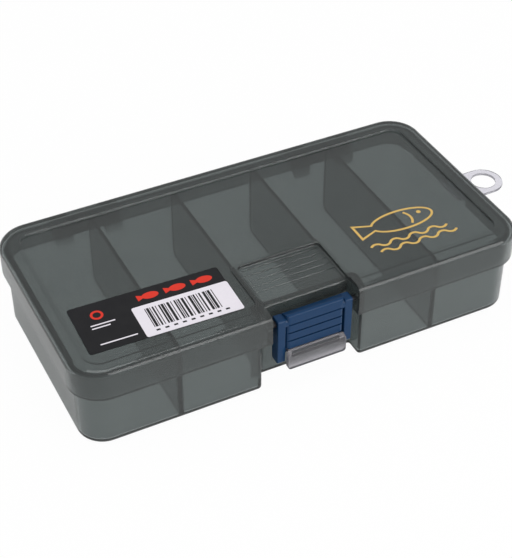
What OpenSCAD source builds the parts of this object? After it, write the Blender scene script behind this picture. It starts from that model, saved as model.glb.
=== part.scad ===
// Flat pocket lure box with a hinged lid, five fixed compartments and a front latch.
// Origin: middle of the lid's outline, on the surface the closed box stands on. +Z up, the latch faces -Y.

/* [Lid] */
// Length of the lid, left to right
lid_w = 160; // [140:1:220]
// Depth of the lid, front to back
lid_d = 81; // [74:1:130]
// Height of the closed box
box_h = 32; // [28:1:60]
// Corner radius of the lid seen from above
lid_corner = 13.6; // [8:0.2:16]
// Wall thickness of the lid
lid_wall = 1.4; // [1.2:0.1:1.6]
// Height of the lid's skirt, from its lower edge to the top
skirt_h = 10.6; // [9.6:0.2:13]
// Rounding of the lid's top edge
lid_edge = 2; // [1.8:0.1:2.6]
// Width of the raised rim round the sunk panel
rim_w = 7.15; // [6:0.05:9]
// How far the clear panel is sunk below the rim
panel_drop = 0.9; // [0.5:0.1:1]
// Corner radius of the sunk panel
panel_corner = 5.5; // [3:0.5:8]

/* [Latch bay] */
// Width of the notch that the latch hangs in
notch_w = 30.8; // [29.6:0.1:36]
// How far the notch cuts back from the lid's front
notch_depth = 6.6; // [6.2:0.1:8]
// Length of the ribbed thumb rest behind the notch
bay_len = 20.7; // [17:0.1:26]
// Width of the thumb rest's floor
bay_w = 30; // [27:0.5:30.5]
// How far the thumb rest is sunk below the rim
bay_drop = 1.5; // [1.2:0.1:1.6]
// Thickness of the thumb rest's floor
bay_floor = 1.2; // [1:0.1:1.2]
// Width of the ridge between thumb rest and panel
ridge_w = 2; // [1.6:0.1:3]
// Number of fine ribs on the thumb rest
rib_count = 5; // [3:1:6]
// Distance from rib to rib
rib_pitch = 2.85; // [2:0.05:3]
// Width of one rib
rib_w = 1; // [0.6:0.1:1.4]
// Height of one rib
rib_h = 0.3; // [0.2:0.05:0.5]

/* [Tray] */
// Gap between the tray's walls and the lid's skirt
tray_gap = 0.9; // [0.8:0.1:1.2]
// Wall thickness of the tray
tray_wall = 1.35; // [1.1:0.05:1.6]
// Thickness of the tray's floor
tray_floor = 1.5; // [1.2:0.1:2.2]
// Rounding of the tray's bottom edge
tray_edge = 3; // [2:0.1:4]
// Gap between the rim of the tray and the sunk thumb rest above it
rim_gap = 0.1; // [0.05:0.05:0.4]
// Thickness of one divider
divider_t = 1.1; // [0.9:0.1:1.6]
// Number of dividers
divider_count = 4; // [2:2:4]

/* [Hinges] */
// Outer radius of a hinge knuckle
knuckle_r = 3.2; // [2.8:0.1:3.8]
// Distance from the lid's end to the middle of a hinge
hinge_from_end = 34; // [26:1:42]
// Length of one hinge
hinge_len = 24; // [18:1:28]
// Length of one of the tray's knuckles
tray_knuckle = 6; // [4:0.5:7]
// Height of the hinge axis above the skirt's lower edge
axis_rise = 2.1; // [1.6:0.1:2.4]
// Radius of a hinge pin
hinge_pin_r = 0.9; // [0.7:0.05:1.2]

/* [Latch] */
// Width of the latch over its two rails
latch_w = 27; // [26:0.1:28.4]
// Width of one rail
rail_w = 2.6; // [2.2:0.1:3]
// Height of the rails
rail_h = 17.2; // [15:0.1:19]
// Depth of the rails, front to back
rail_depth = 4.2; // [3.8:0.1:4.4]
// Distance from the closed box's top down to the rails
rail_drop = 3.5; // [3:0.1:4.5]
// Width of the grip pad between the rails
grip_w = 20; // [18:0.1:20.6]
// Height of the grip pad
grip_h = 13.3; // [11:0.1:14]
// Thickness of the latch's back web
web_t = 1.5; // [1.2:0.1:1.8]
// Distance from groove to groove on the grip pad
groove_pitch = 3.3; // [2.6:0.1:3.6]
// Radius of the latch's pin
latch_pin_r = 1; // [0.7:0.05:1.1]
// Drop of the pin's axis below the rails' top
pin_drop = 2.1; // [1.8:0.1:2.6]
// Height of the pull tab's plate
tab_h = 6.7; // [5:0.1:8]
// Thickness of the pull tab's plate
tab_t = 1.7; // [1.4:0.1:2.2]

/* [Hanger] */
// Outer radius of the hanger's ring
ring_r = 6.9; // [6:0.1:7.5]
// Radius of the hanger's hole
ring_hole_r = 4.3; // [3:0.1:4.8]
// Distance from the tray's end wall to the middle of the hole
ring_reach = 12.4; // [10:0.1:16]
// Thickness of the hanger
ring_t = 1.6; // [1.2:0.1:1.8]

/* [Label] */
// Distance from the label to the ridge round the thumb rest
label_from_bay = 3.15; // [1.5:0.05:8]
// Height of the label
label_d = 21.6; // [14:0.1:24]
// Distance from the left end of the sunk panel to the label
label_from_end = 1.7; // [1:0.1:8]
// Distance from the front of the sunk panel to the label
label_from_front = 3.2; // [2:0.1:10]
// How far the label is turned
label_turn = -1.7; // [-3:0.1:3]

/* [Hidden] */
$fn = 48;

// Running clearance round a pin, and the gaps between the pieces
pin_gap = 0.05;
side_gap = 0.3;
hanger_gap = 0.4;
over = 1;

// Lid
skirt_z = box_h - skirt_h;
panel_z = box_h - panel_drop;
panel_w = lid_w - 2 * rim_w;
panel_d = lid_d - 2 * rim_w;
panel_under_grow = 1.3;

// Latch bay
lid_front = -lid_d / 2;
bay_front = lid_front + notch_depth;
bay_back = bay_front + bay_len;
bay_z = box_h - bay_drop;
bay_under = bay_z - bay_floor;
bay_corner = 3;

// Tray
tray_inset = lid_wall + tray_gap;
tray_w = lid_w - 2 * tray_inset;
tray_d = lid_d - 2 * tray_inset;
tray_h = bay_under - rim_gap;
tray_corner = lid_corner - tray_inset;
notch_wall_gap = 1;
tray_notch_w = notch_w + 2 * (lid_wall + notch_wall_gap);
tray_bay_front = bay_front + lid_wall + tray_gap;
divider_pitch = (tray_w - 2 * tray_wall + divider_t) / (divider_count + 1);

// Hinges
hinge_x = lid_w / 2 - hinge_from_end;
axis_y = lid_d / 2 + knuckle_r + side_gap;
axis_z = skirt_z + axis_rise;
tray_back = tray_d / 2;
arm_h = 4;
arm_top = skirt_z - side_gap;
lid_arm_h = 6;

// Latch
rail_inset = 1.8;
rail_back = bay_front - rail_inset;
rail_front = rail_back - rail_depth;
rail_top = box_h - rail_drop;
rail_bottom = rail_top - rail_h;
rail_round = 0.8;
pin_y = rail_back - rail_depth / 2;
pin_z = rail_top - pin_drop;
grip_proud = 0.2;
grip_rise = 0.7;
grip_front = rail_front - grip_proud;
grip_top = rail_top + grip_rise;
grip_bottom = grip_top - grip_h;
grip_bevel = 0.9;
groove_w = 0.5;
groove_count = 3;
web_front = rail_back - web_t;
web_foot = 1.7;

// Catch and hook: the hook stops short of the catch, so that the lid can be lifted with the latch down
catch_w = 18;
catch_reach = 1.4;
catch_h = 1.8;
catch_below_skirt = 0.8;
catch_top = skirt_z - catch_below_skirt;
hook_gap = 0.4;
hook_w = 16;
hook_h = 1.4;
hook_top = catch_top - catch_h - side_gap;
hook_back = tray_bay_front - catch_reach - hook_gap;

// Pull tab
tab_proud = 1.9;
tab_front = grip_front - tab_proud;
tab_top = grip_bottom - side_gap;
tab_bottom = tab_top - tab_h;
tab_slope = 0.8;
tab_round = 1.3;
tongue_h = 1.8;

// Hanger
ring_x = tray_w / 2 + ring_reach;
ring_rise = 2;
ring_top = skirt_z + ring_rise;
neck_inset = 1.4;
neck_w = 2 * (ring_r - neck_inset);
head_len = 1.4;

// Label
label_t = 0.15;
label_w = (panel_w - bay_w) / 2 - ridge_w - label_from_end - label_from_bay;
label_round = 1.6;
label_x = -panel_w / 2 + label_from_end + label_w / 2;
label_y = -panel_d / 2 + label_from_front + label_d / 2;

// --- shapes ---------------------------------------------------------------------------------

// Rectangle with round corners
module round_outline(w, d, r) {
    square([w - 2 * r, d], center = true);
    square([w, d - 2 * r], center = true);
    for (sx = [-1, 1], sy = [-1, 1])
        translate([sx * (w / 2 - r), sy * (d / 2 - r)])
            circle(r);
}

module round_plate(w, d, h, r) {
    linear_extrude(h) round_outline(w, d, r);
}

// Section of a soft block from its corner's centre outwards: upright side, top edge rounded by e
module side_section(r, h, e) {
    square([r, h - e]);
    square([r - e, h]);
    translate([r - e, h - e])
        circle(e);
}

// Block with round upright corners and a rounded top edge, made of straight and turned sections
module soft_block(w, d, h, r, e) {
    core_x = w / 2 - r;
    core_y = d / 2 - r;
    translate([-core_x, -core_y, 0])
        cube([2 * core_x, 2 * core_y, h]);
    for (turn = [0, 180])
        rotate(turn) {
            translate([-core_x, core_y, 0])
                rotate([90, 0, 90])
                    linear_extrude(2 * core_x) side_section(r, h, e);
            translate([core_x, core_y, 0])
                rotate([90, 0, 0])
                    linear_extrude(2 * core_y) side_section(r, h, e);
            translate([core_x, core_y, 0])
                rotate_extrude(angle = 90) side_section(r, h, e);
            translate([-core_x, core_y, 0])
                rotate(90)
                    rotate_extrude(angle = 90) side_section(r, h, e);
        }
}

// The same block standing on its rounded edge
module soft_bowl(w, d, h, r, e) {
    translate([0, 0, h])
        mirror([0, 0, 1])
            soft_block(w, d, h, r, e);
}

// Box from one corner to the opposite one
module span(low, high) {
    translate(low)
        cube(high - low);
}

// Round bar along X, centred on x
module bar_x(x, y, z, r, len) {
    translate([x, y, z])
        rotate([0, 90, 0])
            cylinder(h = len, r = r, center = true);
}

// Slab along X, from an outline drawn in Y and Z
module slab_x(x, len) {
    translate([x - len / 2, 0, 0])
        rotate([90, 0, 90])
            linear_extrude(len) children();
}

// Where a line from p touches a circle round c, on the side given by 1 or -1
function touch(p, c, r, side) =
    let (v = c - p, a = atan2(v[1], v[0]) - side * asin(r / norm(v)), far = sqrt(v * v - r * r))
    p + far * [cos(a), sin(a)];

hinge_axis = [axis_y, axis_z];

// --- tray -----------------------------------------------------------------------------------

module tray_arm_outline() {
    foot = [tray_back - tray_wall / 2, arm_top - arm_h];
    translate(hinge_axis)
        circle(knuckle_r);
    polygon([foot, [foot[0], arm_top], [axis_y, arm_top], touch(foot, hinge_axis, knuckle_r, 1)]);
}

module tray_knuckles(x) {
    for (side = [-1, 1])
        slab_x(x + side * (hinge_len - tray_knuckle) / 2, tray_knuckle) tray_arm_outline();
}

module tray() {
    color([0.38, 0.42, 0.42])
    difference() {
        union() {
            difference() {
                soft_bowl(tray_w, tray_d, tray_h, tray_corner, tray_edge);
                difference() {
                    translate([0, 0, tray_floor])
                        soft_bowl(tray_w - 2 * tray_wall, tray_d - 2 * tray_wall, tray_h,
                                  tray_corner - tray_wall, tray_edge);
                    span([-tray_notch_w / 2 - tray_wall, -tray_d, 0],
                         [tray_notch_w / 2 + tray_wall, tray_bay_front + tray_wall, tray_h + 2 * over]);
                    for (i = [0:divider_count - 1])
                        translate([(i - (divider_count - 1) / 2) * divider_pitch - divider_t / 2, 0, 0])
                            span([0, -tray_d, 0], [divider_t, tray_d, tray_h]);
                }
            }
            span([-catch_w / 2, tray_bay_front - catch_reach, catch_top - catch_h],
                 [catch_w / 2, tray_bay_front + tray_wall / 2, catch_top]);
            tray_knuckles(-hinge_x);
            tray_knuckles(hinge_x);
        }
        // the notch behind the latch, beside and below the catch
        difference() {
            span([-tray_notch_w / 2, -tray_d, -over], [tray_notch_w / 2, tray_bay_front, tray_h + over]);
            span([-catch_w / 2, tray_bay_front - catch_reach, catch_top - catch_h],
                 [catch_w / 2, tray_bay_front + over, catch_top]);
        }
        for (side = [-1, 1])
            bar_x(side * hinge_x, axis_y, axis_z, hinge_pin_r + pin_gap, hinge_len + 2 * over);
        // slot that the hanger's neck passes through
        span([tray_w / 2 - tray_wall - over, -neck_w / 2, ring_top - ring_t],
             [tray_w / 2 + over, neck_w / 2, ring_top]);
    }
}

// --- lid ------------------------------------------------------------------------------------

module lid_arm_outline() {
    foot = [lid_d / 2 - lid_wall / 2, skirt_z + lid_arm_h];
    translate(hinge_axis)
        circle(knuckle_r);
    polygon([[foot[0], skirt_z], foot, touch(foot, hinge_axis, knuckle_r, -1), hinge_axis,
             [axis_y, skirt_z]]);
}

// Outline of the sunk panel, cut away round the thumb rest; grow widens it for the underside
module panel_outline(grow) {
    half_bay = bay_w / 2 + ridge_w - grow;
    difference() {
        round_outline(panel_w + 2 * grow, panel_d + 2 * grow, panel_corner + grow);
        translate([0, (bay_back + ridge_w - grow - lid_d) / 2])
            round_outline(2 * half_bay, bay_back + ridge_w - grow + lid_d, bay_corner);
    }
}

module lid() {
    color([0.36, 0.4, 0.4])
    difference() {
        union() {
            difference() {
                translate([0, 0, skirt_z])
                    soft_block(lid_w, lid_d, skirt_h, lid_corner, lid_edge);
                difference() {
                    translate([0, 0, skirt_z - over])
                        soft_block(lid_w - 2 * lid_wall, lid_d - 2 * lid_wall, skirt_h - lid_wall + over,
                                   lid_corner - lid_wall, lid_edge - lid_wall);
                    // walls of the notch
                    span([-notch_w / 2 - lid_wall, -lid_d, 0],
                         [notch_w / 2 + lid_wall, bay_front + lid_wall, box_h]);
                }
            }
            // the sunk panel and the thumb rest keep their thickness on the underside
            translate([0, 0, panel_z - lid_wall])
                linear_extrude(lid_wall - panel_drop + lid_wall / 2) panel_outline(panel_under_grow);
            span([-bay_w / 2 - panel_under_grow, bay_front, bay_under],
                 [bay_w / 2 + panel_under_grow, bay_back + panel_under_grow, bay_z]);
            for (side = [-1, 1])
                slab_x(side * hinge_x, hinge_len - 2 * (tray_knuckle + side_gap)) lid_arm_outline();
        }
        translate([0, 0, panel_z])
            linear_extrude(panel_drop + over) panel_outline(0);
        // thumb rest, with its ribs left standing
        difference() {
            span([-bay_w / 2, bay_front - over, bay_z], [bay_w / 2, bay_back, box_h + over]);
            for (i = [0:rib_count - 1])
                translate([0, bay_back - rib_w - i * rib_pitch, bay_z])
                    span([-bay_w / 2, -rib_w / 2, 0], [bay_w / 2, rib_w / 2, rib_h]);
        }
        span([-notch_w / 2, -lid_d, 0], [notch_w / 2, bay_front, box_h + over]);
        for (side = [-1, 1])
            bar_x(side * hinge_x, axis_y, axis_z, hinge_pin_r + pin_gap, hinge_len);
        bar_x(0, pin_y, pin_z, latch_pin_r + pin_gap, notch_w + 2 * (lid_wall + side_gap));
        // room for the hanger in the skirt's lower edge
        span([lid_w / 2 - lid_wall - over, -ring_r - hanger_gap, skirt_z - over],
             [lid_w / 2 + over, ring_r + hanger_gap, ring_top + hanger_gap]);
    }
}

// --- latch ----------------------------------------------------------------------------------

module grip_outline() {
    polygon([[web_front, grip_bottom], [grip_front, grip_bottom], [grip_front, grip_top - grip_bevel],
             [grip_front + grip_bevel, grip_top], [rail_back - grip_rise, grip_top], [rail_back, rail_top],
             [rail_back, grip_bottom]]);
}

module latch() {
    color([0.16, 0.27, 0.45])
    difference() {
        union() {
            for (side = [-1, 1])
                slab_x(side * (latch_w - rail_w) / 2, rail_w)
                    translate([(rail_front + rail_back) / 2, (rail_top + rail_bottom) / 2])
                        round_outline(rail_depth, rail_h, rail_round);
            span([-latch_w / 2 + rail_w / 2, web_front, rail_bottom + web_foot],
                 [latch_w / 2 - rail_w / 2, rail_back, rail_top - rail_round]);
            slab_x(0, latch_w - rail_w)
                translate([pin_y, pin_z])
                    circle(pin_drop);
            slab_x(0, grip_w) grip_outline();
            span([-hook_w / 2, rail_back - web_t / 2, hook_top - hook_h], [hook_w / 2, hook_back, hook_top]);
        }
        for (i = [1:groove_count])
            span([-grip_w / 2 - side_gap, grip_front - over, grip_top - i * groove_pitch - groove_w / 2],
                 [grip_w / 2 + side_gap, grip_front + groove_w, grip_top - i * groove_pitch + groove_w / 2]);
        bar_x(0, pin_y, pin_z, latch_pin_r + pin_gap, latch_w + 2 * over);
    }
}

// Plate with a sloped top, hung under the grip pad on a tongue that meets the latch's web
module pull_tab() {
    color([0.75, 0.74, 0.78, 0.6])
    union() {
        intersection() {
            slab_x(0, grip_w)
                polygon([[tab_front, tab_bottom], [tab_front, tab_top - tab_slope],
                         [tab_front + tab_t, tab_top], [tab_front + tab_t, tab_bottom]]);
            translate([0, tab_front + tab_t + over, (tab_bottom + tab_top) / 2])
                rotate([90, 0, 0])
                    linear_extrude(tab_t + 2 * over) round_outline(grip_w, tab_h, tab_round);
        }
        span([-grip_w / 2 + tab_round, tab_front + tab_t / 2, tab_top - tab_slope - tongue_h],
             [grip_w / 2 - tab_round, web_front, tab_top - tab_slope]);
        span([-grip_w / 2 + tab_round, grip_front + side_gap, tab_top - tab_slope],
             [grip_w / 2 - tab_round, web_front, grip_bottom]);
    }
}

// --- pins, hanger, label --------------------------------------------------------------------

module latch_pin() {
    color([0.7, 0.71, 0.73])
    bar_x(0, pin_y, pin_z, latch_pin_r, notch_w + 2 * lid_wall);
}

module hinge_pin(side) {
    color([0.7, 0.71, 0.73])
    bar_x(side * hinge_x, axis_y, axis_z, hinge_pin_r, hinge_len);
}

module hinge_pin_left() {
    hinge_pin(-1);
}

module hinge_pin_right() {
    hinge_pin(1);
}

// Flat ring on a tab whose neck passes through the tray's wall, with a head behind it
module hanger_ring() {
    inner_face = tray_w / 2 - tray_wall;
    color([0.8, 0.79, 0.84, 0.6])
    translate([0, 0, ring_top - ring_t])
    difference() {
        union() {
            translate([ring_x, 0, 0])
                cylinder(h = ring_t, r = ring_r);
            span([tray_w / 2, -ring_r, 0], [ring_x, ring_r, ring_t]);
            span([inner_face - head_len / 2, -neck_w / 2, 0], [tray_w / 2 + over, neck_w / 2, ring_t]);
            span([inner_face - head_len, -ring_r, 0], [inner_face, ring_r, ring_t]);
        }
        translate([ring_x, 0, -over])
            cylinder(h = ring_t + 2 * over, r = ring_hole_r);
    }
}

module label_sticker() {
    color([0.14, 0.14, 0.15])
    translate([label_x, label_y, panel_z])
        rotate(label_turn)
            round_plate(label_w, label_d, label_t, label_round);
}

tray();
lid();
latch();
pull_tab();
latch_pin();
hinge_pin_left();
hinge_pin_right();
hanger_ring();
label_sticker();
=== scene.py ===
# %% [markdown]
# # A pocket lure box, dressed in Blender
#
# The box is a flat, smoky, see-through plastic case with a hinged lid, a blue snap latch, a clear pull
# tab, a clear hanging ring and a printed label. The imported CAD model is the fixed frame: it says how big
# each piece is, where it sits and how it moves. This lesson models the visible form of each piece around
# that frame and gives it a finish.

# %% Load the frame
import math

import bpy
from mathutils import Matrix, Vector


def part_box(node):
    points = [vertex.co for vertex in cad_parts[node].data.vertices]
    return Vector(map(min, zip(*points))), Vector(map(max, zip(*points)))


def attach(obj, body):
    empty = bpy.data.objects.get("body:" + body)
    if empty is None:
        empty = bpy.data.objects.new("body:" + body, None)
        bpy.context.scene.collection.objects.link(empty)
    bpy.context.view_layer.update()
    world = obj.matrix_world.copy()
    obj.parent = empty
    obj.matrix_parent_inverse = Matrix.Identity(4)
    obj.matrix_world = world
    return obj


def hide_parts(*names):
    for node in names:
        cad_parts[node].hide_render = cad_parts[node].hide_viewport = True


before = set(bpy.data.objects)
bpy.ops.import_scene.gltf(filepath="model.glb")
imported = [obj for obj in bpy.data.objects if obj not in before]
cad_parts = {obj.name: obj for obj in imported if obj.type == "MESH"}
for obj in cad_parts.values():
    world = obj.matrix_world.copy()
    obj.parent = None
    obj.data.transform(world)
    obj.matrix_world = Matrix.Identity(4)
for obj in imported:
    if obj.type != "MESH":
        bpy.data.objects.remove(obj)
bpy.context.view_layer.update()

# %% [markdown]
# ## The camera
#
# The photograph was taken from the front left, 40 degrees above the table. Its direction, distance and
# focal length were worked out from the box's straight edges, so the camera is made first and every later
# render can be compared with the photograph. The picture is 512 x 558, so Blender's sensor width of 36 mm
# lies along its long side.

# %% Camera
MM = 0.001
PHOTO_LONG_SIDE = 558
FOCAL_PIXELS = 1360.9
SENSOR = 36.0
AZIMUTH = math.radians(-26.631)
ELEVATION = math.radians(39.973)
DISTANCE = 459.678 * MM
TARGET = Vector((-2.757, -3.336, 15.0)) * MM

back = Vector((math.sin(AZIMUTH) * math.cos(ELEVATION),
               -math.cos(AZIMUTH) * math.cos(ELEVATION), math.sin(ELEVATION)))
camera_data = bpy.data.cameras.new("camera")
camera_data.sensor_width = SENSOR
camera_data.lens = SENSOR * FOCAL_PIXELS / PHOTO_LONG_SIDE
camera_data.clip_start = 0.01
camera = bpy.data.objects.new("camera", camera_data)
camera.location = TARGET + DISTANCE * back
camera.rotation_mode = "QUATERNION"
camera.rotation_quaternion = (-back).to_track_quat("-Z", "Y")
bpy.context.scene.collection.objects.link(camera)
bpy.context.scene.camera = camera
print("camera at", tuple(round(c, 4) for c in camera.location), "lens", round(camera_data.lens, 2), "mm")

# %% [markdown]
# ## Helpers for modelling
#
# Everything is modelled with the same few moves that a person makes in the viewport: deselect all, add a
# primitive at its size and place, pick edges by where they are, then bevel or move them. Boolean modifiers
# join and cut the finished blocks, the way a mould's two halves leave the plastic between them. The walls
# could also be extruded face by face, but roundings are far easier to put on a block before it is cut.
# Sizes are in millimetres, as in the CAD model, and only the helpers turn them into Blender's metres.

# %% Selecting by place
NEAR = 0.01  # places closer than this count as the same
WITHIN = 0.1  # a looser reach for picking by place


def deselect():
    if bpy.context.object and bpy.context.object.mode != "OBJECT":
        bpy.ops.object.mode_set(mode="OBJECT")
    bpy.ops.object.select_all(action="DESELECT")


def activate(piece):
    deselect()
    piece.select_set(True)
    bpy.context.view_layer.objects.active = piece


def pick_edges(piece, test):
    """Selects the edges whose two ends pass the test, leaves edit mode on and counts them."""
    activate(piece)
    bpy.ops.object.mode_set(mode="EDIT")
    bpy.ops.mesh.select_mode(type="EDGE")
    bpy.ops.mesh.select_all(action="DESELECT")
    bpy.ops.object.mode_set(mode="OBJECT")
    count = 0
    for edge in piece.data.edges:
        a, b = (piece.data.vertices[i].co / MM for i in edge.vertices)
        edge.select = test(a, b)
        count += edge.select
    bpy.ops.object.mode_set(mode="EDIT")
    return count


# %% Tests for edges
def upright(a, b):
    return abs(a.x - b.x) < NEAR and abs(a.y - b.y) < NEAR


def along_x(a, b):
    return abs(a.y - b.y) < NEAR and abs(a.z - b.z) < NEAR


def below(level):
    """A test for the edges that lie at a level or under it."""
    return lambda a, b: max(a.z, b.z) < level + NEAR


def above(level):
    """A test for the edges that lie at a level or over it."""
    return lambda a, b: min(a.z, b.z) > level - NEAR


# %% Shaping the picked edges
def bevel(width, steps):
    bpy.ops.mesh.bevel(offset=width * MM, segments=steps, affect="EDGES", clamp_overlap=True)
    bpy.ops.object.mode_set(mode="OBJECT")


def move_edges(piece, test, shift):
    pick_edges(piece, test)
    bpy.ops.transform.translate(value=Vector(shift) * MM)
    bpy.ops.object.mode_set(mode="OBJECT")


# %% Blocks and rods
def settle(name):
    """Names the newest piece and moves its place, turn and scale into its mesh."""
    piece = bpy.context.object
    piece.name = name
    bpy.ops.object.transform_apply(location=True, rotation=True, scale=True)
    return piece


def block(name, low, high):
    """A cube primitive from one corner to the other."""
    deselect()
    low, high = Vector(low), Vector(high)
    bpy.ops.mesh.primitive_cube_add(size=1, location=(low + high) / 2 * MM, scale=(high - low) * MM)
    return settle(name)


def rounded_block(name, low, high, corner, steps):
    """A block with rounded upright edges."""
    piece = block(name, low, high)
    pick_edges(piece, upright)
    bevel(corner, steps)
    return piece


def rod_x(name, x, y, z, radius, length, sides=48):
    """A cylinder primitive along X."""
    deselect()
    bpy.ops.mesh.primitive_cylinder_add(vertices=sides, radius=radius * MM, depth=length * MM,
                                        location=Vector((x, y, z)) * MM, rotation=(0, math.pi / 2, 0))
    return settle(name)


# %% Joining and cutting
def combine(piece, other, how):
    """Joins or cuts with another closed block, which is used up."""
    activate(piece)
    bpy.ops.object.modifier_add(type="BOOLEAN")
    modifier = piece.modifiers[-1]
    modifier.operation = how
    modifier.solver = "EXACT"
    modifier.object = other
    bpy.ops.object.modifier_apply(modifier=modifier.name)
    bpy.data.objects.remove(other)


def cut(piece, other):
    combine(piece, other, "DIFFERENCE")


def add(piece, other):
    combine(piece, other, "UNION")


# %% [markdown]
# ## Finishes
#
# Smoky polypropylene is see-through but never clear: it darkens what is behind it with every millimetre, so
# its edges and its thin walls seen end-on look almost black. Mixing in a transparent shader would fade the
# whole piece evenly. A glass-like surface with absorption inside gets the dark edges right by itself.
#
# Every finish varies a little over the piece, by a noise pattern on its Object coordinates, because moulded
# plastic, print and wire are never one flat colour.

# %% Material helpers
def new_material(name):
    material = bpy.data.materials.new(name)
    material.use_nodes = True
    nodes, links = material.node_tree.nodes, material.node_tree.links
    shader = nodes["Principled BSDF"]
    return material, nodes, links, shader


def object_noise(nodes, links, scale, detail):
    """A noise pattern fixed to the piece by its Object coordinates."""
    where = nodes.new("ShaderNodeTexCoord")
    noise = nodes.new("ShaderNodeTexNoise")
    noise.inputs["Scale"].default_value = scale
    noise.inputs["Detail"].default_value = detail
    links.new(where.outputs["Object"], noise.inputs["Vector"])
    return noise.outputs["Fac"]


# %% Arithmetic in a material
def math_node(nodes, links, operation, source, other=None):
    """One step of arithmetic on a value, with another value, with a plain number or with nothing."""
    node = nodes.new("ShaderNodeMath")
    node.operation = operation
    links.new(source, node.inputs[0])
    if isinstance(other, float):
        node.inputs[1].default_value = other
    elif other:
        links.new(other, node.inputs[1])
    return node.outputs[0]


def remap(nodes, links, source, from_low, from_high, low, high):
    """Maps one range of values onto another."""
    span = nodes.new("ShaderNodeMapRange")
    span.inputs["From Min"].default_value = from_low
    span.inputs["From Max"].default_value = from_high
    span.inputs["To Min"].default_value = low
    span.inputs["To Max"].default_value = high
    links.new(source, span.inputs["Value"])
    return span.outputs["Result"]


def ramp(nodes, links, noise, low, high):
    """Maps a noise, which mostly keeps between 0.3 and 0.7, onto a small range of values."""
    return remap(nodes, links, noise, 0.3, 0.7, low, high)


# %% Turning a pattern into colour and relief
COLOUR_A, COLOUR_B, COLOUR_OUT = 6, 7, 2  # the Mix node's sockets for colours


def tint(nodes, links, noise, dark, light):
    """Blends two near colours by a pattern."""
    mix = nodes.new("ShaderNodeMix")
    mix.data_type = "RGBA"
    mix.inputs[COLOUR_A].default_value = (*dark, 1)
    mix.inputs[COLOUR_B].default_value = (*light, 1)
    links.new(noise, mix.inputs["Factor"])
    return mix.outputs[COLOUR_OUT]


def fine_bump(nodes, links, shader, noise, strength, depth):
    bump = nodes.new("ShaderNodeBump")
    bump.inputs["Strength"].default_value = strength
    bump.inputs["Distance"].default_value = depth * MM
    links.new(noise, bump.inputs["Height"])
    links.new(bump.outputs["Normal"], shader.inputs["Normal"])


# %% Smoky see-through plastic
def upright_matt(nodes, links, side, flat):
    """One value on upright faces and another on level ones, by the piece's own normals."""
    where = nodes.new("ShaderNodeTexCoord")
    split = nodes.new("ShaderNodeSeparateXYZ")
    links.new(where.outputs["Normal"], split.inputs["Vector"])
    lie = math_node(nodes, links, "ABSOLUTE", split.outputs["Z"])
    return remap(nodes, links, lie, 0.03, 0.3, side, flat)


def smoky_plastic():
    material, nodes, links, shader = new_material("smoky_plastic")
    shader.inputs["Transmission Weight"].default_value = 0.91
    shader.inputs["IOR"].default_value = 1.42
    noise = object_noise(nodes, links, 60, 3)
    colour = tint(nodes, links, noise, (0.38, 0.415, 0.415), (0.42, 0.455, 0.45))
    links.new(colour, shader.inputs["Base Color"])
    polish = math_node(nodes, links, "ADD", ramp(nodes, links, noise, 0.0, 0.03),
                       upright_matt(nodes, links, 0.12, 0.04))
    links.new(polish, shader.inputs["Roughness"])
    inside = nodes.new("ShaderNodeVolumeAbsorption")
    inside.inputs["Color"].default_value = (0.45, 0.48, 0.48, 1)
    inside.inputs["Density"].default_value = 325
    links.new(inside.outputs["Volume"], nodes["Material Output"].inputs["Volume"])
    return material


smoke = smoky_plastic()
print("the smoky plastic absorbs light inside and is polished on its level faces")

# %% [markdown]
# ## The other finishes
#
# The latch is opaque blue plastic with a faint grain, so it gets a weak highlight and a very fine bump. The
# ring is clear, and the pull tab is a little cloudy, which a darker tint and a rougher surface show. The
# label and the inks are dull. The pins are drawn wire, coloured near black as painted shade, so that their
# ends look like the shaded gaps they show in. Their recipes differ only in colour and roughness, so one
# function holds what they share, and each finish adds its own sheen.


# %% Blue and clear plastic
def noisy(name, scale, detail, dark, light, low, high):
    """A finish whose colour runs from dark to light, and its roughness from low to high, over the piece."""
    material, nodes, links, shader = new_material(name)
    noise = object_noise(nodes, links, scale, detail)
    links.new(tint(nodes, links, noise, dark, light), shader.inputs["Base Color"])
    links.new(ramp(nodes, links, noise, low, high), shader.inputs["Roughness"])
    return material, nodes, links, shader, noise


def blue_plastic():
    material, nodes, links, shader, noise = noisy("blue_plastic", 400, 4, (0.006, 0.033, 0.090),
                                                  (0.009, 0.039, 0.104), 0.14, 0.20)
    shader.inputs["Specular IOR Level"].default_value = 0.18
    fine_bump(nodes, links, shader, noise, 0.2, 0.01)
    return material


def clear_plastic(name, dark, light, low, high):
    material, _, _, shader, _ = noisy(name, 150, 3, dark, light, low, high)
    shader.inputs["Transmission Weight"].default_value = 0.9
    shader.inputs["IOR"].default_value = 1.4
    return material


# %% Label, ink and steel
def label_film():
    material, _, _, shader, _ = noisy("label_film", 300, 3, (0.014, 0.014, 0.016), (0.020, 0.020, 0.022),
                                      0.30, 0.40)
    shader.inputs["Specular IOR Level"].default_value = 0.15
    return material


def print_ink(name, dark, light, roughness):
    material, _, _, shader, _ = noisy(name, 900, 3, dark, light, roughness, roughness + 0.1)
    shader.inputs["Specular IOR Level"].default_value = 0.2
    return material


def pin_steel():
    # The near-black colour is painted shade: it makes the pins' ends look like the shaded gaps round them.
    material, _, _, shader, _ = noisy("pin_steel", 900, 4, (0.02, 0.02, 0.022), (0.04, 0.04, 0.042),
                                      0.35, 0.5)
    shader.inputs["Metallic"].default_value = 1.0
    return material


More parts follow.
